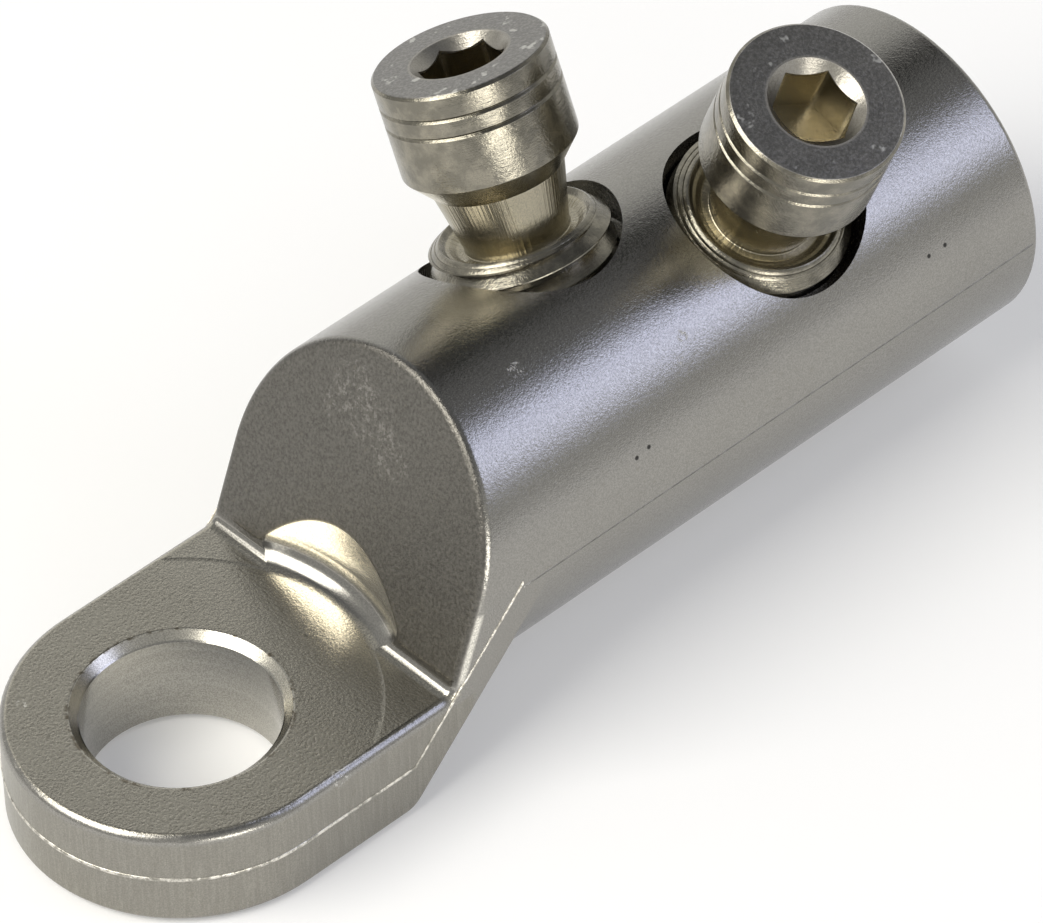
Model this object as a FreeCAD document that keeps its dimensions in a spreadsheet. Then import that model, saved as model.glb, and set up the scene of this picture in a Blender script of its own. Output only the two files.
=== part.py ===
import FreeCAD, Part
import math
import os
import Sketcher

# Shear bolt cable lug, in millimetres and degrees.
# The origin is the centre of the stud hole on the palm's underside.
# +X runs along the barrel towards the conductor, and +Z is up.

# Cutters run this far past the faces they open
PAST = 1.0
# Edges are told apart to within this
SAME = 1e-3

# Driving sizes: name, value, what it is
SIZES = (
    ("barrel_diameter", 24.0, "outside of the barrel"),
    ("barrel_end", 68.0, "mouth of the barrel, from the stud hole"),
    ("axis_height", 13.5, "barrel axis above the palm's underside"),
    ("mouth_round", 0.5, "round on the outer edge of the mouth"),
    ("bore_diameter", 13.0, "conductor bore"),
    ("bore_start", 24.0, "where the bore's full diameter ends"),
    ("drill_point", 118.0, "angle of the drill point at the bore's end"),
    ("mouth_chamfer", 0.6, "chamfer where the conductor enters"),
    ("bore_groove_depth", 0.4, "V grooves across the bore, where the bolts clamp"),
    ("bore_groove_pitch", 4.3, "groove to groove"),
    ("bore_groove_count", 8, "grooves in the bore"),
    ("bore_groove_gap", 0.1, "between the last groove and the bolt hole nearer the mouth"),
    ("palm_width", 24.0, "palm, side to side"),
    ("palm_thickness", 7.7, "palm, underside to top"),
    ("stud_hole_diameter", 13.5, "hole for the stud"),
    ("stud_top_chamfer", 0.65, "chamfer on top of the stud hole"),
    ("stud_under_chamfer", 0.3, "chamfer under the stud hole"),
    ("slope_start", 13.2, "foot of the slope, from the stud hole"),
    ("slope_angle", 68.7, "slope from level"),
    ("root_radius", 1.0, "hollow at the foot of the slope"),
    ("scallop_diameter", 30.6, "washer relief cut into the slope"),
    ("scallop_shift", 0.5, "relief's centre off the middle, towards +Y"),
    ("scallop_round", 1.9, "hollow at the foot of the relief"),
    ("scallop_sink", 0.03, "floor of the relief below the palm's top"),
    ("scallop_edge_round", 0.3, "round where the relief meets the slope"),
    ("ramp_start", 9.65, "where the underside turns up, from the stud hole"),
    ("ramp_angle", 45.0, "underside's ramp from level"),
    ("ramp_radius", 2.0, "round where the underside turns up"),
    ("under_round", 0.5, "round on the underside's outer edge"),
    ("rim_round", 0.75, "round on the palm's and the slope's outer edge"),
    ("bolt_tilt", 22.5, "bolts lean to either side by this much"),
    ("bolt_1_place", 35.0, "bolt nearer the palm, from the stud hole"),
    ("bolt_2_place", 49.45, "bolt nearer the mouth, from the stud hole"),
    ("bolt_1_rim", 12.5, "thread's upper end above the barrel axis"),
    ("bolt_2_rim", 11.05, "thread's upper end above the barrel axis"),
    ("bolt_1_turn", 20.0, "turn of the socket about the bolt"),
    ("bolt_2_turn", 30.0, "turn of the socket about the bolt"),
    ("thread_diameter", 12.7, "thread, over its crests"),
    ("thread_length", 10.0, "thread, rim to tip"),
    ("thread_clearance", 0.08, "between the thread's crests and the hole"),
    ("tip_chamfer", 1.0, "chamfer at the thread's tip"),
    ("rim_diameter", 10.5, "raised rim round the neck's dish"),
    ("rim_fall", 0.7, "fall of the rim's outside for each millimetre out"),
    ("dish_depth", 0.85, "dish round the neck's foot"),
    ("dish_floor_diameter", 9.5, "flat floor of the dish"),
    ("neck_foot_diameter", 7.2, "neck where it shears"),
    ("neck_top_diameter", 9.24, "neck under the head"),
    ("neck_top", 3.9, "top of the neck above the rim"),
    ("head_foot", 5.7, "foot of the head's cylinder above the rim"),
    ("head_top", 12.8, "top of the head above the rim"),
    ("head_diameter", 12.26, "head"),
    ("head_bevel", 0.22, "bevel on the head's top edge"),
    ("groove_depth", 0.16, "turned grooves in the head"),
    ("groove_width", 0.32, "mouth of a turned groove"),
    ("groove_1_drop", 1.8, "first groove below the head's top"),
    ("groove_2_drop", 3.15, "second groove below the head's top"),
    ("socket_width", 5.15, "hexagon socket across its flats"),
    ("socket_depth", 4.6, "hexagon socket"),
    ("socket_mouth_diameter", 6.8, "chamfer at the socket's mouth"),
    ("relief_diameter", 14.1, "relief at the mouth of a bolt hole"),
    ("relief_floor", 9.4, "relief's floor above the barrel axis"),
)

os.makedirs("parts", exist_ok=True)
document = FreeCAD.newDocument("CableLug")
sheet = document.addObject("Spreadsheet::Sheet", "Sizes")
for row, (name, size, note) in enumerate(SIZES, start=1):
    sheet.set(f"A{row}", note)
    sheet.set(f"B{row}", str(size))
    sheet.setAlias(f"B{row}", name)
document.recompute()


def value(expression):
    """Number that an expression on the sheet gives now."""
    return float(sheet.evalExpression(expression.replace("Sizes.", "")))


def new_body(label):
    body = document.addObject("PartDesign::Body", label)
    body.Label = label
    return body


def new_sketch(body, name, plane, base=("0", "0", "0"), lean=None):
    """Sketch on one of the body's planes, moved by base and leaned about its own first axis."""
    sketch = body.newObject("Sketcher::SketchObject", name)
    origin_plane = next(item for item in body.Origin.OriginFeatures if item.Role == plane)
    sketch.AttachmentSupport = [(origin_plane, "")]
    sketch.MapMode = "FlatFace"
    if lean:
        turn = FreeCAD.Rotation(FreeCAD.Vector(1, 0, 0), value(lean))
        sketch.AttachmentOffset = FreeCAD.Placement(FreeCAD.Vector(), turn)
        sketch.setExpression(".AttachmentOffset.Rotation.Angle", lean)
    for letter, expression in zip("xyz", base):
        if expression != "0":
            sketch.setExpression(f".AttachmentOffset.Base.{letter}", expression)
    return sketch


def tie(sketch, constraints):
    """Add pairs of a constraint and the expression for its size, or None, all in one solve."""
    first = sketch.ConstraintCount
    sketch.addConstraint([constraint for constraint, expression in constraints])
    for index, (constraint, expression) in enumerate(constraints, start=first):
        if expression:
            sketch.setExpression(f"Constraints[{index}]", expression)


def place(item, end, corner):
    """Constraints that hold one point of a sketch at the two expressions of its place."""
    return [
        (Sketcher.Constraint(kind, -1, 1, item, end, value(expression)), expression)
        for kind, expression in zip(("DistanceX", "DistanceY"), corner)
    ]


def draw_outline(sketch, corners):
    """Closed outline through corners (x, y) or (x, y, radius), each written as expressions."""
    points = [FreeCAD.Vector(value(corner[0]), value(corner[1]), 0) for corner in corners]
    radii = [value(corner[2]) if len(corner) > 2 else 0 for corner in corners]
    count = len(corners)
    arrive, leave = [], []
    for index in range(count):
        back = (points[index - 1] - points[index]).normalize()
        ahead = (points[(index + 1) % count] - points[index]).normalize()
        setback = radii[index] / math.tan(back.getAngle(ahead) / 2)
        arrive.append(points[index] + back * setback)
        leave.append(points[index] + ahead * setback)
    lines = [
        sketch.addGeometry(Part.LineSegment(leave[index], arrive[(index + 1) % count]))
        for index in range(count)
    ]
    constraints = []
    for index, corner in enumerate(corners):
        before, after = lines[index - 1], lines[index]
        if not radii[index]:
            constraints.append((Sketcher.Constraint("Coincident", before, 2, after, 1), None))
            constraints += place(after, 1, corner)
            continue
        inward = ((arrive[index] + leave[index]) / 2 - points[index]).normalize()
        half_angle = (arrive[index] - points[index]).getAngle(inward)
        centre = points[index] + inward * (radii[index] / math.sin(half_angle))
        circle = Part.Circle(centre, FreeCAD.Vector(0, 0, 1), radii[index])
        turns_left = (points[index] - arrive[index]).cross(leave[index] - points[index]).z > 0
        first, last = (1, 2) if turns_left else (2, 1)
        ends = [arrive[index] - centre, leave[index] - centre]
        angles = [math.atan2(end.y, end.x) for end in (ends if turns_left else reversed(ends))]
        arc = sketch.addGeometry(Part.ArcOfCircle(circle, *angles))
        peak = sketch.addGeometry(Part.Point(points[index]), True)
        constraints += [
            (Sketcher.Constraint("Tangent", before, 2, arc, first), None),
            (Sketcher.Constraint("Tangent", arc, last, after, 1), None),
            (Sketcher.Constraint("Radius", arc, radii[index]), corner[2]),
            (Sketcher.Constraint("PointOnObject", peak, 1, before), None),
            (Sketcher.Constraint("PointOnObject", peak, 1, after), None),
        ]
        constraints += place(peak, 1, corner)
    tie(sketch, constraints)


def draw_hexagon(sketch, across, turn):
    """Hexagon about the sketch's origin, by its width across flats and the turn of a corner."""
    radius = value(across) / math.sqrt(3)
    ring = sketch.addGeometry(Part.Circle(FreeCAD.Vector(), FreeCAD.Vector(0, 0, 1), radius), True)
    corners = []
    for step in range(6):
        angle = math.radians(value(turn) + 60 * step)
        corners.append(FreeCAD.Vector(radius * math.cos(angle), radius * math.sin(angle), 0))
    spoke = sketch.addGeometry(Part.LineSegment(FreeCAD.Vector(), corners[0]), True)
    sides = [
        sketch.addGeometry(Part.LineSegment(corners[step], corners[(step + 1) % 6]))
        for step in range(6)
    ]
    constraints = [
        (Sketcher.Constraint("Coincident", ring, 3, -1, 1), None),
        (Sketcher.Constraint("Radius", ring, radius), f"{across} / sqrt(3)"),
        (Sketcher.Constraint("Coincident", spoke, 1, -1, 1), None),
        (Sketcher.Constraint("Coincident", spoke, 2, sides[0], 1), None),
        (Sketcher.Constraint("Angle", -1, 1, spoke, 1, math.radians(value(turn))), turn),
    ]
    for step in range(6):
        after = sides[(step + 1) % 6]
        constraints += [
            (Sketcher.Constraint("Coincident", sides[step], 2, after, 1), None),
            (Sketcher.Constraint("PointOnObject", after, 1, ring), None),
        ]
    constraints += [
        (Sketcher.Constraint("Equal", sides[0], side), None) for side in sides[1:]
    ]
    tie(sketch, constraints)


def new_feature(body, kind, name, sketch=None, **settings):
    feature = body.newObject(f"PartDesign::{kind}", name)
    if sketch:
        feature.Profile = sketch
        sketch.Visibility = False
    for setting, choice in settings.items():
        setattr(feature, setting, choice)
    return feature


def turned(body, kind, name, sketch, axis, angle=360):
    """Revolution or Groove about one axis of its sketch."""
    return new_feature(body, kind, name, sketch, ReferenceAxis=(sketch, [axis]), Angle=angle)


def symmetric(body, kind, name, sketch, length):
    """Pad or Pocket half to each side of its sketch."""
    feature = new_feature(body, kind, name, sketch, SideType="Symmetric")
    feature.setExpression("Length", length)
    return feature


def near(number, expression):
    return abs(number - value(expression)) < SAME


def is_circle(edge, radius):
    return isinstance(edge.Curve, Part.Circle) and near(edge.Curve.Radius, radius)


def off_scallop_axis(edge):
    """How far an edge's middle lies from the upright axis of the relief."""
    middle = edge.valueAt((edge.FirstParameter + edge.LastParameter) / 2)
    return math.hypot(middle.x, middle.y - value("Sizes.scallop_shift"))


def rounded(body, name, wanted, radius):
    """Round the edges of the body so far that wanted picks."""
    document.recompute()
    base = body.Tip
    chosen = [f"Edge{n}" for n, edge in enumerate(base.Shape.Edges, start=1) if wanted(edge)]
    feature = new_feature(body, "Fillet", name, Base=(base, chosen))
    feature.setExpression("Radius", radius)
    return feature


def make_lug():
    lug = new_body("cable_lug")
    wall = "Sizes.palm_width / 2"
    reach = "Sizes.axis_height * 2 + Sizes.barrel_diameter"

    # Palm: a round end about the stud hole, and a block as wide as the barrel under it
    section = new_sketch(lug, "palm_end_section", "YZ_Plane")
    draw_outline(section, (
        ("0", "0"),
        (wall, "0"),
        (wall, "Sizes.palm_thickness"),
        ("0", "Sizes.palm_thickness"),
    ))
    turned(lug, "Revolution", "palm_end", section, "V_Axis", 180)
    side = new_sketch(lug, "web_side", "XZ_Plane")
    web_end = "Sizes.ramp_start + Sizes.axis_height / tan(Sizes.ramp_angle)"
    draw_outline(side, (
        ("0", "0"),
        ("Sizes.ramp_start", "0", "Sizes.ramp_radius"),
        (web_end, "Sizes.axis_height"),
        ("0", "Sizes.axis_height"),
    ))
    symmetric(lug, "Pad", "web", side, "Sizes.palm_width")

    rounded(lug, "under_edge", lambda edge: is_circle(edge, wall)
            and near(edge.CenterOfMass.z, "0"), "Sizes.under_round")

    # Barrel, then the slope that ends it above the palm
    tube = new_sketch(lug, "barrel_section", "XZ_Plane", base=("0", "Sizes.axis_height", "0"))
    skin = "Sizes.barrel_diameter / 2"
    draw_outline(tube, (
        ("Sizes.ramp_start", "0"),
        ("Sizes.ramp_start", skin),
        ("Sizes.barrel_end", skin, "Sizes.mouth_round"),
        ("Sizes.barrel_end", "0"),
    ))
    turned(lug, "Revolution", "barrel", tube, "H_Axis")
    above = new_sketch(lug, "slope_side", "XZ_Plane")
    slope_top = f"Sizes.slope_start + ({reach} - Sizes.palm_thickness) / tan(Sizes.slope_angle)"
    draw_outline(above, (
        ("-Sizes.palm_width", "Sizes.palm_thickness"),
        ("Sizes.slope_start", "Sizes.palm_thickness", "Sizes.root_radius"),
        (slope_top, reach),
        ("-Sizes.palm_width", reach),
    ))
    symmetric(lug, "Pocket", "slope", above, "2 * Sizes.palm_width")

    # Rounds on the outer edges run on from the palm up the slope
    rounded(lug, "rim_edge", lambda edge: is_circle(edge, wall)
            and near(edge.CenterOfMass.z, "Sizes.palm_thickness"), "Sizes.rim_round")

    # Relief for the washer, a plunge cut about the stud hole
    relief = new_sketch(lug, "scallop_section", "XZ_Plane", base=("0", "0", "-Sizes.scallop_shift"))
    floor = "Sizes.palm_thickness - Sizes.scallop_sink"
    draw_outline(relief, (
        ("0", floor),
        ("Sizes.scallop_diameter / 2", floor, "Sizes.scallop_round"),
        ("Sizes.scallop_diameter / 2", reach),
        ("0", reach),
    ))
    turned(lug, "Groove", "scallop", relief, "V_Axis")
    rounded(lug, "scallop_edge", lambda edge: isinstance(edge.Curve, Part.Ellipse)
            and near(off_scallop_axis(edge), "Sizes.scallop_diameter / 2"), "Sizes.scallop_edge_round")

    # Stud hole and conductor bore, each with its chamfers
    stud = new_sketch(lug, "stud_hole_section", "XZ_Plane")
    hole = "Sizes.stud_hole_diameter / 2"
    draw_outline(stud, (
        ("0", f"-{PAST}"),
        (f"{hole} + Sizes.stud_under_chamfer + {PAST}", f"-{PAST}"),
        (hole, "Sizes.stud_under_chamfer"),
        (hole, "Sizes.palm_thickness - Sizes.stud_top_chamfer"),
        (f"{hole} + Sizes.stud_top_chamfer + {PAST}", f"Sizes.palm_thickness + {PAST}"),
        ("0", f"Sizes.palm_thickness + {PAST}"),
    ))
    turned(lug, "Groove", "stud_hole", stud, "V_Axis")
    bore = new_sketch(lug, "bore_section", "XZ_Plane", base=("0", "Sizes.axis_height", "0"))
    bore_wall = "Sizes.bore_diameter / 2"
    draw_outline(bore, (
        (f"Sizes.bore_start - {bore_wall} / tan(Sizes.drill_point / 2)", "0"),
        ("Sizes.bore_start", bore_wall),
        ("Sizes.barrel_end - Sizes.mouth_chamfer", bore_wall),
        (f"Sizes.barrel_end + {PAST}", f"{bore_wall} + Sizes.mouth_chamfer + {PAST}"),
        (f"Sizes.barrel_end + {PAST}", "0"),
    ))
    turned(lug, "Groove", "bore", bore, "H_Axis")

    # Grooves grip the conductor; the way in from the mouth is plain
    thread_wall = "Sizes.thread_diameter / 2 + Sizes.thread_clearance"
    grip = new_sketch(lug, "bore_groove_section", "XZ_Plane", base=("0", "Sizes.axis_height", "0"))
    depth = "Sizes.bore_groove_depth"
    middle = f"Sizes.bolt_2_place + {thread_wall} + Sizes.bore_groove_gap + {depth}"
    draw_outline(grip, (
        (middle, f"{bore_wall} + {depth}"),
        (f"{middle} - 2 * {depth}", f"{bore_wall} - {depth}"),
        (f"{middle} + 2 * {depth}", f"{bore_wall} - {depth}"),
    ))
    groove = turned(lug, "Groove", "bore_groove", grip, "H_Axis")
    row = new_feature(lug, "LinearPattern", "bore_grooves", Originals=[groove],
                      Direction=(grip, ["H_Axis"]), Reversed=True)
    row.setExpression("Occurrences", "Sizes.bore_groove_count")
    row.setExpression("Length", "Sizes.bore_groove_pitch * (Sizes.bore_groove_count - 1)")
    lug.Tip = row

    # Bolt holes, drawn at the thread's crests, with a relief at the mouth
    relief_wall = "Sizes.relief_diameter / 2"
    for number, lean in ((1, "90 - Sizes.bolt_tilt"), (2, "90 + Sizes.bolt_tilt")):
        base = (f"Sizes.bolt_{number}_place", "0", "Sizes.axis_height")
        section = new_sketch(lug, f"bolt_hole_{number}_section", "XY_Plane", base=base, lean=lean)
        draw_outline(section, (
            ("0", "0"),
            (thread_wall, "0"),
            (thread_wall, f"Sizes.relief_floor - {relief_wall} + {thread_wall}"),
            (relief_wall, "Sizes.relief_floor"),
            (relief_wall, "Sizes.barrel_diameter"),
            ("0", "Sizes.barrel_diameter"),
        ))
        turned(lug, "Groove", f"bolt_hole_{number}", section, "V_Axis")
    return lug


def make_bolt(number, side):
    """Shear bolt in its own frame, +Z out of the lug and zero at the thread's upper rim."""
    bolt = new_body(f"shear_bolt_{number}")
    crest = "Sizes.thread_diameter / 2"
    rim = "Sizes.rim_diameter / 2"
    head = "Sizes.head_diameter / 2"
    section = new_sketch(bolt, f"bolt_{number}_section", "XZ_Plane")
    draw_outline(section, (
        ("0", "-Sizes.thread_length"),
        (f"{crest} - Sizes.tip_chamfer", "-Sizes.thread_length"),
        (crest, "Sizes.tip_chamfer - Sizes.thread_length"),
        (crest, f"({rim} - {crest}) * Sizes.rim_fall"),
        (rim, "0"),
        ("Sizes.dish_floor_diameter / 2", "-Sizes.dish_depth"),
        ("Sizes.neck_foot_diameter / 2", "-Sizes.dish_depth"),
        ("Sizes.neck_top_diameter / 2", "Sizes.neck_top"),
        (head, "Sizes.head_foot"),
        (head, "Sizes.head_top - Sizes.head_bevel"),
        (f"{head} - Sizes.head_bevel", "Sizes.head_top"),
        ("0", "Sizes.head_top"),
    ))
    turned(bolt, "Revolution", f"bolt_{number}_turned", section, "V_Axis")

    for ring in (1, 2):
        middle = f"Sizes.head_top - Sizes.groove_{ring}_drop"
        section = new_sketch(bolt, f"bolt_{number}_groove_{ring}_section", "XZ_Plane")
        draw_outline(section, (
            (f"{head} - Sizes.groove_depth", middle),
            (f"{head} + Sizes.groove_depth", f"{middle} - Sizes.groove_width"),
            (f"{head} + Sizes.groove_depth", f"{middle} + Sizes.groove_width"),
        ))
        turned(bolt, "Groove", f"bolt_{number}_groove_{ring}", section, "V_Axis")

    socket = new_sketch(bolt, f"bolt_{number}_socket_section", "XY_Plane",
                        base=("0", "0", "Sizes.head_top"))
    draw_hexagon(socket, "Sizes.socket_width", f"Sizes.bolt_{number}_turn")
    pocket = new_feature(bolt, "Pocket", f"bolt_{number}_socket", socket)
    pocket.setExpression("Length", "Sizes.socket_depth")
    mouth = new_sketch(bolt, f"bolt_{number}_socket_mouth_section", "XZ_Plane")
    mouth_wall = "Sizes.socket_mouth_diameter / 2"
    draw_outline(mouth, (
        ("0", f"Sizes.head_top - {mouth_wall}"),
        (f"{mouth_wall} + {PAST}", f"Sizes.head_top + {PAST}"),
        ("0", f"Sizes.head_top + {PAST}"),
    ))
    turned(bolt, "Groove", f"bolt_{number}_socket_mouth", mouth, "V_Axis")

    # Seated in the lug: out along the leaning hole axis by the height of the rim
    lean = FreeCAD.Rotation(FreeCAD.Vector(-side, 0, 0), value("Sizes.bolt_tilt"))
    bolt.Placement = FreeCAD.Placement(FreeCAD.Vector(), lean)
    height = f"Sizes.bolt_{number}_rim"
    bolt.setExpression("Placement.Rotation.Angle", "Sizes.bolt_tilt")
    bolt.setExpression("Placement.Base.x", f"Sizes.bolt_{number}_place")
    bolt.setExpression("Placement.Base.y", f"{side} * {height} * sin(Sizes.bolt_tilt)")
    bolt.setExpression("Placement.Base.z", f"Sizes.axis_height + {height} * cos(Sizes.bolt_tilt)")
    return bolt


parts = [make_lug(), make_bolt(1, 1), make_bolt(2, -1)]
document.recompute()

for item in document.Objects:
    if "Invalid" in item.State or "Error" in item.State:
        raise RuntimeError(f"{item.Label} failed: {item.State}")
for part in parts:
    if part.Shape.isNull() or not part.Shape.isValid() or len(part.Shape.Solids) != 1:
        raise RuntimeError(f"{part.Label} is not one valid solid")
for part in parts:
    part.Shape.exportStep(f"parts/{part.Label}.step")
    print(part.Label, "volume", round(part.Shape.Volume, 2), "mm3", part.Shape.BoundBox)
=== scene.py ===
import math
from types import SimpleNamespace

import bpy
from mathutils import Matrix, Vector

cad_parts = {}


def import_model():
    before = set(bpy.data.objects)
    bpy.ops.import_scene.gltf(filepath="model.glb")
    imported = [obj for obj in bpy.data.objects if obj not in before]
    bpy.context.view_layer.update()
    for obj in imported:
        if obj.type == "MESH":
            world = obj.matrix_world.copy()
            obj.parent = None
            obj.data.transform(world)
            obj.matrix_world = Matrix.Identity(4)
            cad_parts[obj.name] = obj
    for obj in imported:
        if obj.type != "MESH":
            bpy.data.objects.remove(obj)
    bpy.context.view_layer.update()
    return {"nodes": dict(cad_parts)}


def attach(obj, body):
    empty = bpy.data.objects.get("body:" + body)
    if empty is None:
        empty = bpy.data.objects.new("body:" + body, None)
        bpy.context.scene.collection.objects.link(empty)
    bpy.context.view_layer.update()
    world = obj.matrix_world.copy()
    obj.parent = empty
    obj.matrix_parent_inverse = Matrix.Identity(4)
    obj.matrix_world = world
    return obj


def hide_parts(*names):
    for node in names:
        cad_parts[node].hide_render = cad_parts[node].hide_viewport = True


MM = 0.001

# Sizes repeated from the CAD model, in millimetres and radians; the barrel is as wide as
# the palm, and lengths along the lug run from the stud hole
AXIS_HEIGHT, BARREL_END = 13.5, 68.0
PALM_TOP, PALM_RADIUS = 7.7, 12.0
STUD_RADIUS, STUD_CHAMFER = 6.75, 0.65
SLOPE_START, SLOPE_ANGLE = 13.2, math.radians(68.7)
SCALLOP_RADIUS, SCALLOP_SHIFT = 15.3, 0.5
PARTING_HEIGHT, RAMP_START = 3.85, 9.65
BOLT_TILT = math.radians(22.5)
BOLTS = {1: dict(place=35.0, rim=12.5, turn=20.0, side=1),
         2: dict(place=49.45, rim=11.05, turn=30.0, side=-1)}
THREAD_DIAMETER, THREAD_LENGTH, THREAD_PITCH = 12.7, 10.0, 1.5
RIM_DIAMETER, HEAD_DIAMETER = 10.5, 12.26
NECK_FOOT_DIAMETER, NECK_TOP_DIAMETER, NECK_TOP = 7.2, 9.24, 3.9
HEAD_FOOT, HEAD_TOP = 5.7, 12.8
SOCKET_WIDTH, SOCKET_DEPTH, SOCKET_MOUTH = 5.15, 4.6, 6.8

# Trim that only this script has
GROOVE_DROPS, GROOVE = (3.15, 1.8), 0.16
RIDGE, SEAM, SEAM_SUNK = 0.16, 0.1, 0.07

# Marks of handling on the lug: where, and how far they reach
NICKS = (((25.8, -5.1, 24.4), 0.75), ((37.6, -8.5, 22.0), 0.55), ((36.6, -9.4, 21.0), 0.4),
         ((18.9, 3.2, 22.3), 2.2), ((18.3, 0.9, 20.9), 2.6), ((18.1, 4.0, 20.3), 1.6),
         ((17.7, -1.6, 19.3), 2.0), ((-7.2, 7.6, 7.7), 0.5), ((3.4, -11.7, 7.3), 0.9))
DOTS = ((30.66, -11.35, 17.41), (31.82, -11.28, 17.59), (58.07, -11.2, 17.81),
        (59.61, -11.19, 17.83))
DOT = 0.2

# Colours, each one tint or the two that a pattern runs between
LUG = SimpleNamespace(
    bare=((0.32, 0.31, 0.285), (0.36, 0.35, 0.325)),
    # rim: a painted highlight along the slope's rounded edge
    rim=(0.90, 0.87, 0.78),
    wall=((0.30, 0.287, 0.252), (0.35, 0.336, 0.296)),
    palm=((0.50, 0.47, 0.395), (0.59, 0.56, 0.475)),
    # slope: the darker forged skin, deepened with painted shade
    slope=((0.09, 0.086, 0.077), (0.17, 0.162, 0.147)),
    scallop=(0.84, 0.80, 0.70),
    bore=((0.40, 0.385, 0.34), (0.56, 0.545, 0.50)),
    chamfer=(0.60, 0.575, 0.50),
    speck=(0.22, 0.20, 0.16),
    pore=(0.17, 0.165, 0.15),
    stain=(0.26, 0.24, 0.19),
    grime=(0.13, 0.105, 0.07),
    nick=((0.92, 0.91, 0.87), (0.30, 0.29, 0.275)),
    dot=(0.02, 0.02, 0.02),
    # line: a painted highlight on the parting line, broken up by grain
    line=((0.34, 0.325, 0.285), (0.80, 0.77, 0.70)),
    seam=(0.16, 0.155, 0.14))
BOLT = SimpleNamespace(
    side=((0.19, 0.179, 0.147), (0.31, 0.289, 0.233)),
    top=((0.20, 0.196, 0.192), (0.35, 0.342, 0.33)),
    cone=(0.42, 0.40, 0.36),
    under=(0.72, 0.67, 0.52),
    neck=(0.43, 0.392, 0.289),
    socket=(0.41, 0.363, 0.248),
    # corner: a painted highlight down each corner of the socket
    corner=(0.86, 0.82, 0.70),
    # bottom: painted shade on the floor of the socket
    socket_floor_shade=(0.24, 0.21, 0.145),
    pore=(0.20, 0.19, 0.165),
    scuff=(0.80, 0.79, 0.74))
WHITE, FLOOR = (1.0, 1.0, 1.0), (0.80, 0.80, 0.80)

# Sky: colours by height, from level to overhead, and patches that scale them: bearing,
# outer and inner half angle, strength
SKY = ((0.0, (0.62, 0.615, 0.60)), (0.52, (0.58, 0.58, 0.565)), (0.70, (0.42, 0.42, 0.42)),
       (0.77, (0.26, 0.265, 0.27)), (1.0, (0.20, 0.205, 0.215)))
SKY_PATCHES = (((30, 57), 16, 6, 0.12), ((62, 18), 46, 22, 1.5))

# Softboxes: bearing, width and height in metres, radiance, colour
WARM, COOL = (1.0, 0.97, 0.90), (0.62, 0.67, 0.95)
LIGHTS = dict(key=((166, 46), (0.58, 0.42), 6.0, WARM),
              window=((-51, 35.5), (0.24, 0.39), 2.45, COOL),
              low_lamp=((252, 4), (0.28, 0.20), 7.0, WARM))
LIGHT_DISTANCE, LIT_POINT = 0.7, (0.028, 0, 0.014)
FLOOR_DROP = 0.0003

CAMERA_PLACE = (-0.244173, -0.303363, 0.395674)
CAMERA_TURN = (46.65324, 1.22725, -43.33739)
CAMERA_LENS, CAMERA_SENSOR = 289.64, 36


class Socket:
    """A node's output that can be written into sums and products."""

    def __init__(self, maker, link):
        self.maker, self.link = maker, link

    def maths(self, operation, *others):
        return self.maker.node("ShaderNodeMath", dict(operation=operation), self, *others)

    def capped(self):
        return self.maths("MINIMUM", 1)

    def __abs__(self):
        return self.maths("ABSOLUTE")

    def __add__(self, other):
        return self.maths("ADD", other)

    def __radd__(self, other):
        return self.maths("ADD", other)

    def __sub__(self, other):
        return self.maths("SUBTRACT", other)

    def __rsub__(self, other):
        return self.maker.node("ShaderNodeMath", dict(operation="SUBTRACT"), other, self)

    def __mul__(self, other):
        return self.maths("MULTIPLY", other)

    def __rmul__(self, other):
        return self.maths("MULTIPLY", other)

    def __truediv__(self, other):
        return self.maths("DIVIDE", other)

    def __pow__(self, other):
        return self.maths("POWER", other)


class Nodes:
    """A node tree: one method adds any node, and the others say what it is used for."""

    def __init__(self, tree):
        self.tree = tree

    def node(self, kind, settings=None, *values, output=0, **named):
        """Add a node: its settings first, then the values or links of its sockets."""
        node = self.tree.nodes.new(kind)
        for setting, choice in (settings or {}).items():
            if setting == "stops":
                ramp = node.color_ramp
                while len(ramp.elements) < len(choice):
                    ramp.elements.new(0.5)
                for element, (position, colour) in zip(ramp.elements, choice):
                    element.position, element.color = position, (*colour, 1)
            else:
                setattr(node, setting, choice)
        for key, value in [*enumerate(values), *named.items()]:
            socket = node.inputs[key if isinstance(key, int) else key.replace("_", " ")]
            if isinstance(value, Socket):
                self.tree.links.new(value.link, socket)
            elif value is not None:
                socket.default_value = value
        return node if output is None else Socket(self, node.outputs[output])

    def axes(self, place):
        node = self.node("ShaderNodeSeparateXYZ", {}, place, output=None)
        return [Socket(self, node.outputs[letter]) for letter in "XYZ"]

    def ramp(self, value, low, high, dark=0.0, bright=1.0):
        """Smooth step of value from low to high."""
        return self.node("ShaderNodeMapRange", dict(interpolation_type="SMOOTHSTEP"), value,
                         From_Min=low, From_Max=high, To_Min=dark, To_Max=bright)

    def mixed(self, share, first, second):
        """Colour between first and second."""
        node = self.node("ShaderNodeMix", dict(data_type="RGBA"), share, output=None)
        for socket, colour in ((node.inputs[6], first), (node.inputs[7], second)):
            if isinstance(colour, Socket):
                self.tree.links.new(colour.link, socket)
            else:
                socket.default_value = (*colour, 1)
        return Socket(self, node.outputs[2])


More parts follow.
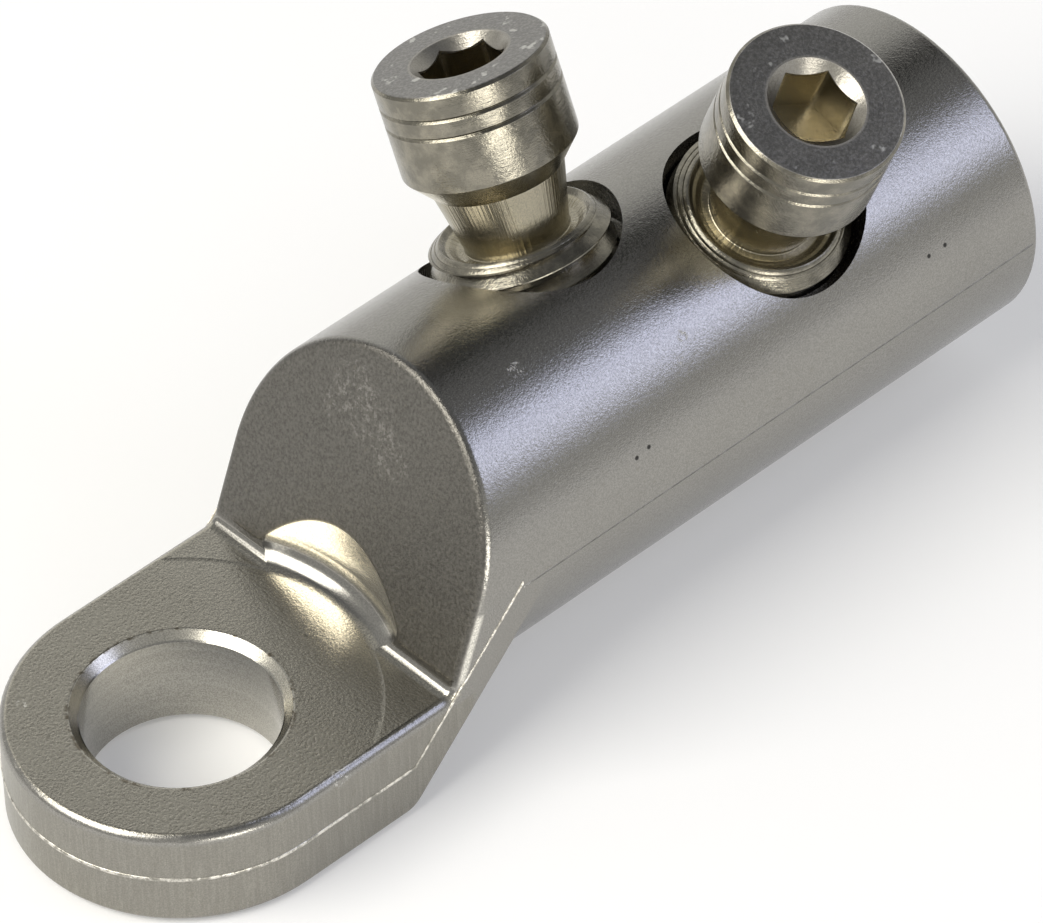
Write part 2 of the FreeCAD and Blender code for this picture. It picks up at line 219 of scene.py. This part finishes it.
class Finish(Nodes):
    """One procedural material, its x, y and z the place on the object in millimetres."""

    def __init__(self, name):
        self.material = bpy.data.materials.new(name)
        self.material.use_nodes = True
        super().__init__(self.material.node_tree)
        self.tree.nodes.clear()
        self.surface = self.node("ShaderNodeBsdfPrincipled", output=None)
        shown = Socket(self, self.surface.outputs["BSDF"])
        self.node("ShaderNodeOutputMaterial", Surface=shown, output=None)
        self.place = self.node("ShaderNodeTexCoord", output="Object")
        self.x, self.y, self.z = (length * 1000 for length in self.axes(self.place))

    def stretched(self, *scale):
        """The place on the object, scaled before a pattern reads it."""
        return self.node("ShaderNodeMapping", {}, self.place, Scale=scale)

    def noise(self, scale, detail, rough, place=None):
        """Noise from 0 to 1, its scale in waves to a metre."""
        return self.node("ShaderNodeTexNoise", dict(normalize=True), place or self.place,
                         Scale=scale, Detail=detail, Roughness=rough, output="Fac")

    def spot(self, centre, reach):
        """Soft round spot about a point given in millimetres."""
        away = self.node("ShaderNodeVectorMath", dict(operation="DISTANCE"), self.place,
                         tuple(number * MM for number in centre), output="Value")
        return self.ramp(away, reach * MM, reach * 0.6 * MM)

    def layered(self, colour, *layers):
        """Lay tints over a colour one by one, each by its share."""
        for share, tint in layers:
            colour = self.mixed(share, colour, tint)
        return colour

    def bump(self, height, depth):
        """Normal of a height from 0 to 1 that is depth millimetres deep."""
        return self.node("ShaderNodeBump", {}, Strength=1.0, Distance=depth * MM, Height=height)

    def dress(self, **sockets):
        """Set the surface's own sockets and give the material back."""
        for name, value in sockets.items():
            socket = self.surface.inputs[name.replace("_", " ")]
            if isinstance(value, Socket):
                self.tree.links.new(value.link, socket)
            elif isinstance(value, tuple):
                socket.default_value = (*value, 1)
            else:
                socket.default_value = value
        return self.material


def lug_zones(finish):
    """Where each face of the lug lies, 1 on it and 0 elsewhere, with soft edges."""
    x, y, ramp = finish.x, finish.y, finish.ramp
    above_palm, above_axis = finish.z - PALM_TOP, finish.z - AXIS_HEIGHT
    above_ramp = finish.z - PARTING_HEIGHT - (x - RAMP_START)
    past_edge = (x ** 2 + y ** 2) ** 0.5 - (STUD_RADIUS + STUD_CHAMFER)
    past_scallop = (x ** 2 + (y - SCALLOP_SHIFT) ** 2) ** 0.5 - SCALLOP_RADIUS
    past_skin = (y ** 2 + above_axis ** 2) ** 0.5 - PALM_RADIUS
    behind_slope = (x - SLOPE_START) * math.sin(SLOPE_ANGLE) - above_palm * math.cos(SLOPE_ANGLE)

    palm = ramp(above_palm, -0.12, -0.05) * ramp(above_palm, 0.2, 0.05) * ramp(x, 14.0, 13.6)
    # The slope mask also carries painted shade in the slope's dark colour
    slope = ramp(abs(behind_slope), 0.35, 0.12) * ramp(above_palm, 0.4, 0.8)
    web = ramp(above_axis, 0.1, -0.3) * ramp(above_ramp, -0.2, 0.2)
    barrel = ramp(past_skin, -0.3, -0.1) * ramp(x, 14.5, 15.5) * (1 - web)
    scallop = ramp(abs(past_scallop), 0.2, 0.08) * ramp(above_palm, 0.05, 0.6)
    scallop = scallop * ramp(behind_slope, 0.03, 0.10)
    bored = ramp(past_edge, 0.1, 0.0)
    chamfer = ramp(past_edge + STUD_CHAMFER, 0.05, 0.15) * bored
    plain = (1 - palm) * (1 - slope) * (1 - barrel) * (1 - scallop) * (1 - bored)

    # The dies polished the foot of the slope, and the cutter the hollow before the scallop
    foot = ramp(x, 12.3, 12.8) * ramp(x, 14.4, 14.0) * ramp(above_palm, 1.2, 0.9)
    foot = foot * ramp(past_scallop, -0.2, 0.0)
    hollow = ramp(abs(past_scallop + 1.0), 1.1, 0.8) * ramp(above_palm, 1.7, 1.4)
    hollow = hollow * ramp(x, 8.0, 9.0)
    polished = (foot + hollow).capped() * ramp(above_palm, 0.01, 0.15)
    return SimpleNamespace(
        palm=palm, slope=slope, barrel=barrel, scallop=scallop, bored=bored, chamfer=chamfer,
        near=palm * ramp(x, 4.0, 10.0),
        wall=plain * ramp(above_palm, -0.5, -0.9) * ramp(x, 22.0, 20.0),
        # The rim mask is where a painted highlight lies along the slope's rounded edge
        rim=plain * ramp(above_palm, 0.3, 1.3) * ramp(behind_slope, 0.8, 0.5),
        grime=palm * ramp(past_edge, -0.25, -0.1) * ramp(past_edge, 0.35, 0.05),
        calm=(polished + scallop + bored).capped())


def tinned_aluminium():
    """Forged lug: grained palm, dull slope darkened partly with painted shade, satin barrel and
    walls brushed upwards.
    """
    finish = Finish("tinned_aluminium")
    zone = lug_zones(finish)
    mixed, ramp, noise = finish.mixed, finish.ramp, finish.noise
    grain = noise(4300, 3, 0.65)
    fine = noise(9500, 2, 0.6)
    patches = noise(230, 4, 0.55)
    brushed = noise(1, 3, 0.6, finish.stretched(5200, 5200, 340))
    drawn = noise(1, 3, 0.6, finish.stretched(160, 3600, 3600))
    bands = noise(1, 2, 0.6, finish.stretched(60, 60, 2600))
    specks = ramp(noise(2300, 2, 0.5), 0.66, 0.72)
    smeared = ramp(noise(1500, 3, 0.6), 0.5, 0.62)
    broken = ramp(noise(2600, 5, 0.75), 0.50, 0.68)
    nicks = (sum(finish.spot(centre, reach) for centre, reach in NICKS) * broken).capped()
    dots = sum(finish.spot(centre, DOT) for centre in DOTS).capped()

    colour = finish.layered(
        mixed(patches, *LUG.bare),
        # painted highlight along the slope's rounded edge
        (zone.rim, LUG.rim),
        (zone.wall, mixed(ramp(brushed, 0.35, 0.7), *LUG.wall)),
        (zone.palm, mixed(patches, *LUG.palm)),
        # the slope's dark colour: partly its forged skin, partly painted shade
        (zone.slope * (1 - zone.scallop), mixed(ramp(grain, 0.3, 0.7), *LUG.slope)),
        (zone.scallop, LUG.scallop),
        (zone.bored, mixed(bands, *LUG.bore)),
        (zone.chamfer, LUG.chamfer),
        (specks * (0.25 + 0.2 * zone.palm), LUG.speck),
        (ramp(fine, 0.35, 0.65, 0.0, 0.45), LUG.pore),
        (zone.palm * (1 - zone.near) * ramp(grain, 0.45, 0.75, 0.0, 0.4), LUG.stain),
        (zone.grime * smeared * 0.8, LUG.grime),
        (nicks * 0.7, mixed(zone.slope, *LUG.nick)),
        (dots * 0.9, LUG.dot))

    rough = 0.26 + 0.02 * zone.palm + 0.10 * zone.slope + 0.06 * zone.wall
    rough = rough - 0.08 * zone.near - 0.06 * zone.barrel - 0.08 * zone.rim
    rough = rough + (patches - 0.5) * (0.10 - 0.06 * zone.barrel)
    rough = rough + (grain - 0.5) * (0.14 + 0.10 * zone.barrel)
    rough = rough * (1 - zone.calm) + zone.calm * 0.17 + zone.chamfer * 0.10 + nicks * 0.15

    height = grain * (0.40 + 0.05 * zone.barrel + 0.55 * zone.palm + 0.90 * zone.slope)
    height = height + brushed * zone.wall * 0.35 + (fine * 0.30 + drawn * 0.08) * zone.barrel
    height = height * (1 - 0.45 * zone.near) * (1 - 0.6 * zone.rim) * (1 - 0.85 * zone.calm)
    height = height + bands * zone.bored * 0.12 - nicks * 0.3
    return finish.dress(Base_Color=colour, Metallic=1.0, Roughness=rough,
                        Normal=finish.bump(height, 0.04))


def tinned_brass(number, place, rim, side):
    """Turned bolt: mottled sides, pale scuffs on its top and fine lines down the neck."""
    finish = Finish(f"tinned_brass_{number}")
    mixed, ramp, noise = finish.mixed, finish.ramp, finish.noise
    x, y, z = finish.x - place, finish.y * side, finish.z - AXIS_HEIGHT
    across = y * math.cos(BOLT_TILT) - z * math.sin(BOLT_TILT)
    along = y * math.sin(BOLT_TILT) + z * math.cos(BOLT_TILT) - rim
    reach = (x ** 2 + across ** 2) ** 0.5
    depth = HEAD_TOP - along

    top = ramp(depth, 0.06, 0.02)
    neck = ramp(along, HEAD_FOOT - 0.1, HEAD_FOOT - 0.4) * ramp(reach, 5.0, 4.8)
    under = (ramp(along, NECK_TOP - 0.2, NECK_TOP + 0.05)
             * ramp(along, HEAD_FOOT + 0.02, HEAD_FOOT - 0.04))
    cone = ramp(abs(reach + depth - SOCKET_MOUTH / 2), 0.2, 0.1) * ramp(depth, 0.9, 0.85)
    socket = ramp(reach, 3.2, 3.1) * ramp(along, 7.0, 7.5) * (1 - cone)
    # Painted highlight: a bright thin line down each corner of the socket
    corner = ramp(reach, 2.80, 2.92) * socket
    # Painted shade: the floor of the socket is darkened
    socket_floor_shade = ramp(depth, SOCKET_DEPTH - 1.4, SOCKET_DEPTH - 0.05) * socket

    grain = noise(4300, 3, 0.65)
    fine = noise(9500, 2, 0.6)
    patches = noise(800, 4, 0.6)
    spoke = finish.node("ShaderNodeCombineXYZ", {}, x / reach * 26, across / reach * 26,
                        along * 0.12)
    lines = noise(1, 2, 0.5, spoke)
    rings = noise(1, 2, 0.5, finish.node("ShaderNodeCombineXYZ", {}, reach * 9, along * 9))
    scuffs = ramp(noise(620, 3, 0.6), 0.62, 0.68) * top

    colour = finish.layered(
        mixed(ramp(patches, 0.38, 0.66), *BOLT.side),
        (top * 0.9, mixed(ramp(grain, 0.35, 0.7), *BOLT.top)),
        (cone * 0.8, BOLT.cone),
        (under * 0.9, BOLT.under),
        (neck * 0.8, BOLT.neck),
        (socket * 0.9, BOLT.socket),
        # painted highlight down the socket's corners
        (corner * 0.8, BOLT.corner),
        # painted shade on the socket's floor
        (socket_floor_shade * 0.8, BOLT.socket_floor_shade),
        (ramp(fine, 0.35, 0.7, 0.0, 0.45), BOLT.pore),
        (scuffs * 0.6, BOLT.scuff))
    rough = 0.21 + 0.14 * top + 0.10 * cone + 0.02 * neck + scuffs * 0.1
    rough = rough + (patches - 0.5) * 0.14 + (grain - 0.5) * 0.12
    height = grain * (0.8 - 0.6 * neck) + lines * neck * 1.6 + rings * (1 - neck) * 0.35
    return finish.dress(Base_Color=colour, Metallic=1.0, Roughness=rough,
                        Normal=finish.bump(height, 0.03))


def flash_with_painted_highlight():
    """The parting line: lighter round the palm and up the walls as a painted highlight, darker
    along the barrel.
    """
    finish = Finish("line_painted_highlight")
    grain = finish.noise(1800, 4, 0.7)
    along_barrel = finish.ramp(finish.x, 19.5, 20.5)
    # The lighter colour is a painted highlight; along the barrel it turns darker
    colour = finish.layered(finish.mixed(finish.ramp(grain, 0.4, 0.6), *LUG.line),
                            (along_barrel * 0.85, LUG.seam))
    return finish.dress(Base_Color=colour, Metallic=1.0, Roughness=0.24 + grain * 0.15,
                        Normal=finish.bump(grain, 0.04))


def pale_floor():
    finish = Finish("pale_floor")
    return finish.dress(Base_Color=FLOOR, Roughness=0.9,
                        Emission_Color=WHITE, Emission_Strength=0.21)


def deselect():
    if bpy.context.mode != "OBJECT":
        bpy.ops.object.mode_set(mode="OBJECT")
    bpy.ops.object.select_all(action="DESELECT")


def make_active(piece):
    deselect()
    piece.select_set(True)
    bpy.context.view_layer.objects.active = piece


def edit(select="SELECT"):
    """Go into edit mode with all of the active piece selected, or none of it."""
    bpy.ops.object.mode_set(mode="EDIT")
    bpy.ops.mesh.select_all(action=select)


def turn_faces_out():
    """Leave edit mode with every face of the piece pointing outwards."""
    bpy.ops.mesh.select_all(action="SELECT")
    bpy.ops.mesh.normals_make_consistent(inside=False)
    bpy.ops.object.mode_set(mode="OBJECT")


def wear(piece, material):
    piece.data.materials.clear()
    piece.data.materials.append(material)


def apply_modifiers(piece):
    make_active(piece)
    for modifier in list(piece.modifiers):
        bpy.ops.object.modifier_apply(modifier=modifier.name)


def cut(piece, cutter):
    """Cut one shape out of a piece and throw the cutter away."""
    modifier = piece.modifiers.new("cut", "BOOLEAN")
    modifier.operation, modifier.solver, modifier.object = "DIFFERENCE", "EXACT", cutter
    apply_modifiers(piece)
    bpy.data.objects.remove(cutter)


def lathe(name, outline, segments=144):
    """Turn a solid from its outline, stations of (radius, height) that a ring is drawn up to."""
    deselect()
    radius, height = outline[0]
    bpy.ops.mesh.primitive_circle_add(vertices=segments, radius=radius * MM, fill_type="NGON",
                                      location=(0, 0, height * MM))
    piece = bpy.context.active_object
    piece.name = name
    bpy.ops.object.transform_apply()
    edit()
    bpy.ops.mesh.select_mode(type="EDGE")
    for wide, high in outline[1:]:
        bpy.ops.mesh.extrude_region_move(
            TRANSFORM_OT_translate={"value": (0, 0, (high - height) * MM)})
        bpy.ops.transform.resize(value=(wide / radius, wide / radius, 1),
                                 center_override=(0, 0, high * MM))
        radius, height = wide, high
    turn_faces_out()
    return piece


def rounded_corner(before, corner, after, radius, steps=4):
    """Stations of a small round on one corner of an outline."""
    before, corner, after = Vector(before), Vector(corner), Vector(after)
    back, ahead = (before - corner).normalized(), (after - corner).normalized()
    half = back.angle(ahead) / 2
    setback = radius / math.tan(half)
    centre = corner + (back + ahead).normalized() * (radius / math.sin(half))
    start, end = corner + back * setback - centre, corner + ahead * setback - centre
    return [tuple(centre + start.lerp(end, step / steps).normalized() * radius)
            for step in range(steps + 1)]


def smooth_outline(corners):
    """Outline through (radius, height, round) with its corners rounded."""
    stations = [corners[0][:2]]
    for before, corner, after in zip(corners, corners[1:], corners[2:]):
        if corner[2]:
            stations += rounded_corner(before[:2], corner[:2], after[:2], corner[2])
        else:
            stations.append(corner[:2])
    return stations + [corners[-1][:2]]


def bolt_outline():
    """Shear bolt from tip to head, its zero height at the thread's rim."""
    crest, rim, head = THREAD_DIAMETER / 2, RIM_DIAMETER / 2, HEAD_DIAMETER / 2
    # Tip, thread and the chamfer above it, with two turned ridges
    corners = [
        (crest - 1.0, -THREAD_LENGTH, 0),
        (crest, 1.0 - THREAD_LENGTH, 0.08),
        (crest, (rim - crest) * 0.7, 0.12),
        (rim + 0.72, -0.50, 0), (rim + 0.66, -0.52, 0), (rim + 0.58, -0.41, 0),
        (rim + 0.38, -0.26, 0), (rim + 0.32, -0.28, 0), (rim + 0.25, -0.17, 0),
        (rim, 0.0, 0.08),
    ]
    # Dish inside the rim, then the neck, which widens to the head
    corners += [
        (rim - 0.34, -0.38, 0.2),
        (rim - 0.60, -0.50, 0.08),
        (rim - 1.05, -0.85, 0.3),
        (NECK_FOOT_DIAMETER / 2, -0.85, 0.12),
        (NECK_TOP_DIAMETER / 2, NECK_TOP, 0.15),
        (head, HEAD_FOOT, 0.15),
    ]
    for drop in GROOVE_DROPS:
        middle = HEAD_TOP - drop
        corners += [(head, middle - GROOVE, 0.03), (head - GROOVE, middle, 0.02),
                    (head, middle + GROOVE, 0.03)]
    corners += [(head, HEAD_TOP - 0.22, 0.05), (head - 0.22, HEAD_TOP, 0.05),
                (3.6, HEAD_TOP, 0)]
    return smooth_outline(corners)


def thread_cutter():
    """Helical V groove, run out past both ends of the thread."""
    deselect()
    bpy.ops.mesh.primitive_circle_add(vertices=3, radius=1.0 * MM)
    cutter = bpy.context.active_object
    crest = THREAD_DIAMETER / 2
    root, half = crest - 0.55 * THREAD_PITCH, 0.47 * THREAD_PITCH
    outer = crest + 0.2
    spread = half / (crest - root) * (outer - root)
    base = -THREAD_LENGTH - 1.5 * THREAD_PITCH
    for vertex, place in zip(cutter.data.vertices, (
            (root, 0, base), (outer, 0, base - spread), (outer, 0, base + spread))):
        vertex.co = Vector(place) * MM
    helix = cutter.modifiers.new("helix", "SCREW")
    helix.axis, helix.screw_offset = "Z", THREAD_PITCH * MM
    helix.iterations = math.ceil((THREAD_LENGTH + 2.0 * THREAD_PITCH) / THREAD_PITCH)
    helix.steps = helix.render_steps = 72
    helix.use_merge_vertices = False
    apply_modifiers(cutter)
    edit("DESELECT")
    bpy.ops.mesh.select_mode(type="EDGE")
    bpy.ops.mesh.select_non_manifold(extend=False)
    bpy.ops.mesh.edge_face_add()
    turn_faces_out()
    return cutter


def cut_socket(bolt, turn):
    """Hexagon socket with its conical mouth, turned about the bolt's axis."""
    deselect()
    bpy.ops.mesh.primitive_cylinder_add(
        vertices=6, radius=SOCKET_WIDTH / math.sqrt(3) * MM, depth=2 * SOCKET_DEPTH * MM,
        location=(0, 0, HEAD_TOP * MM), rotation=(0, 0, math.radians(turn - 30)))
    cut(bolt, bpy.context.active_object)
    deselect()
    above = 1.0
    size = SOCKET_MOUTH / 2 + above
    bpy.ops.mesh.primitive_cone_add(vertices=144, radius1=0, radius2=size * MM, depth=size * MM,
                                    location=(0, 0, (HEAD_TOP + above - size / 2) * MM))
    cut(bolt, bpy.context.active_object)


def make_bolt(number, place, rim, turn, side):
    bolt = lathe(f"shear_bolt_{number}_turned", bolt_outline())
    cut_socket(bolt, turn)
    cut(bolt, thread_cutter())
    make_active(bolt)
    edit()
    bpy.ops.mesh.remove_doubles(threshold=0.001 * MM)
    bpy.ops.object.mode_set(mode="OBJECT")
    bpy.ops.object.shade_smooth_by_angle(angle=math.radians(24))
    lean = Matrix.Rotation(-side * BOLT_TILT, 4, "X")
    seat = Vector((place, 0, AXIS_HEIGHT)) + lean @ Vector((0, 0, rim))
    bolt.data.transform(Matrix.Translation(seat * MM) @ lean)
    wear(bolt, tinned_brass(number, place, rim, side))
    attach(bolt, f"bolt_{number}")
    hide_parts(f"shear_bolt_{number}")


def disc_across(radius, vertices, x, y, z):
    """Small disc that faces along +X, the section of a ridge."""
    deselect()
    bpy.ops.mesh.primitive_circle_add(
        vertices=vertices, radius=radius * MM, fill_type="NGON",
        rotation=(0, math.radians(90), 0), location=(x * MM, y * MM, z * MM))
    return bpy.context.active_object


def draw(*step):
    """Draw the selected face out by a step in millimetres."""
    bpy.ops.mesh.extrude_region_move(
        TRANSFORM_OT_translate={"value": tuple(length * MM for length in step)})


def parting_line():
    """Low ridge where the dies met: round the palm, up both walls and along the barrel."""
    sides = 12
    line = disc_across(RIDGE, sides, RAMP_START, -PALM_RADIUS, PARTING_HEIGHT)
    line.name = "parting_line"
    line.scale = (1, 0.5, 1)
    bpy.ops.object.transform_apply()
    rise = AXIS_HEIGHT - PARTING_HEIGHT + 0.4
    edit()
    bpy.ops.mesh.select_mode(type="FACE")
    draw(-RAMP_START, 0, 0)
    bpy.ops.mesh.spin(steps=60, angle=math.radians(180), center=(0, 0, 0), axis=(0, 0, 1))
    draw(RAMP_START, 0, 0)
    draw(rise, 0, rise)

    # The other end of the ridge goes up its own wall
    bpy.ops.mesh.select_all(action="DESELECT")
    bpy.ops.object.mode_set(mode="OBJECT")
    for face in line.data.polygons:
        face.select = len(face.vertices) == sides and face.center.y < 0
    bpy.ops.object.mode_set(mode="EDIT")
    draw(rise, 0, rise)
    bpy.ops.mesh.select_all(action="SELECT")
    bpy.ops.transform.resize(value=(1 - 0.02 / PALM_RADIUS,) * 2 + (1,),
                             center_override=(0, 0, 0))
    bpy.ops.object.mode_set(mode="OBJECT")

    for side in (-1, 1):
        seam = disc_across(SEAM, 8, RAMP_START + rise, side * (PALM_RADIUS - SEAM_SUNK),
                           AXIS_HEIGHT)
        bpy.ops.object.transform_apply()
        edit()
        draw(BARREL_END - 0.6 - RAMP_START - rise, 0, 0)
        bpy.ops.object.mode_set(mode="OBJECT")
        make_active(line)
        seam.select_set(True)
        bpy.ops.object.join()
    edit()
    turn_faces_out()
    bpy.ops.object.shade_smooth_by_angle(angle=math.radians(50))
    wear(line, flash_with_painted_highlight())
    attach(line, "lug")


def dress_lug(node):
    """The CAD lug keeps its mesh; its curved faces are shaded smooth up to their real edges."""
    wear(node, tinned_aluminium())
    for face in node.data.polygons:
        face.use_smooth = True
    weld = node.modifiers.new("weld", "WELD")
    weld.merge_threshold = 0.002 * MM
    split = node.modifiers.new("split", "EDGE_SPLIT")
    split.split_angle = math.radians(25)
    normals = node.modifiers.new("normals", "WEIGHTED_NORMAL")
    normals.keep_sharp = True
    normals.mode = "FACE_AREA_WITH_ANGLE"


def toward(azimuth, elevation):
    """Direction of a bearing: azimuth from +X towards +Y and height above level, in degrees."""
    a, e = math.radians(azimuth), math.radians(elevation)
    return Vector((math.cos(a) * math.cos(e), math.sin(a) * math.cos(e), math.sin(e)))


def add_light(name, bearing, size, radiance, colour):
    """Softbox that faces the object from a bearing."""
    data = bpy.data.lights.new(name, "AREA")
    data.shape = "RECTANGLE"
    data.size, data.size_y = size
    data.color = colour
    data.energy = radiance * math.pi * size[0] * size[1]
    lamp = bpy.data.objects.new(name, data)
    bpy.context.scene.collection.objects.link(lamp)
    lamp.location = Vector(LIT_POINT) + toward(*bearing) * LIGHT_DISTANCE
    lamp.rotation_euler = toward(*bearing).to_track_quat("Z", "Y").to_euler()


def make_sky():
    """Backdrop all round, which the bare metal mirrors."""
    world = bpy.data.worlds.new("studio")
    world.use_nodes = True
    bpy.context.scene.world = world
    sky = Nodes(world.node_tree)
    bearing = sky.node("ShaderNodeTexCoord", output="Generated")
    colour = sky.node("ShaderNodeValToRGB", dict(stops=SKY), sky.axes(bearing)[2])
    for centre, outer, inner, strength in SKY_PATCHES:
        nearness = sky.node("ShaderNodeVectorMath", dict(operation="DOT_PRODUCT"), bearing,
                            toward(*centre), output="Value")
        scale = sky.ramp(nearness, math.cos(math.radians(outer)), math.cos(math.radians(inner)),
                         1.0, strength)
        colour = sky.node("ShaderNodeVectorMath", dict(operation="SCALE"), colour, Scale=scale)
    background = world.node_tree.nodes["Background"]
    sky.tree.links.new(colour.link, background.inputs["Color"])


def make_studio():
    scene = bpy.context.scene
    scene.view_settings.view_transform = "Standard"
    make_sky()
    for name, light in LIGHTS.items():
        add_light(name, *light)

    deselect()
    bpy.ops.mesh.primitive_plane_add(size=8, location=(0, 0, -FLOOR_DROP))
    floor = bpy.context.active_object
    floor.name = "floor"
    wear(floor, pale_floor())

    camera = bpy.data.cameras.new("camera")
    camera.sensor_width, camera.lens = CAMERA_SENSOR, CAMERA_LENS
    camera.clip_start, camera.clip_end = 0.01, 20
    eye = bpy.data.objects.new("camera", camera)
    scene.collection.objects.link(eye)
    eye.location = CAMERA_PLACE
    eye.rotation_euler = [math.radians(angle) for angle in CAMERA_TURN]
    scene.camera = eye


def main():
    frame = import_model()
    dress_lug(frame["nodes"]["cable_lug"])
    for number, bolt in BOLTS.items():
        make_bolt(number, **bolt)
    parting_line()
    make_studio()
    deselect()


main()
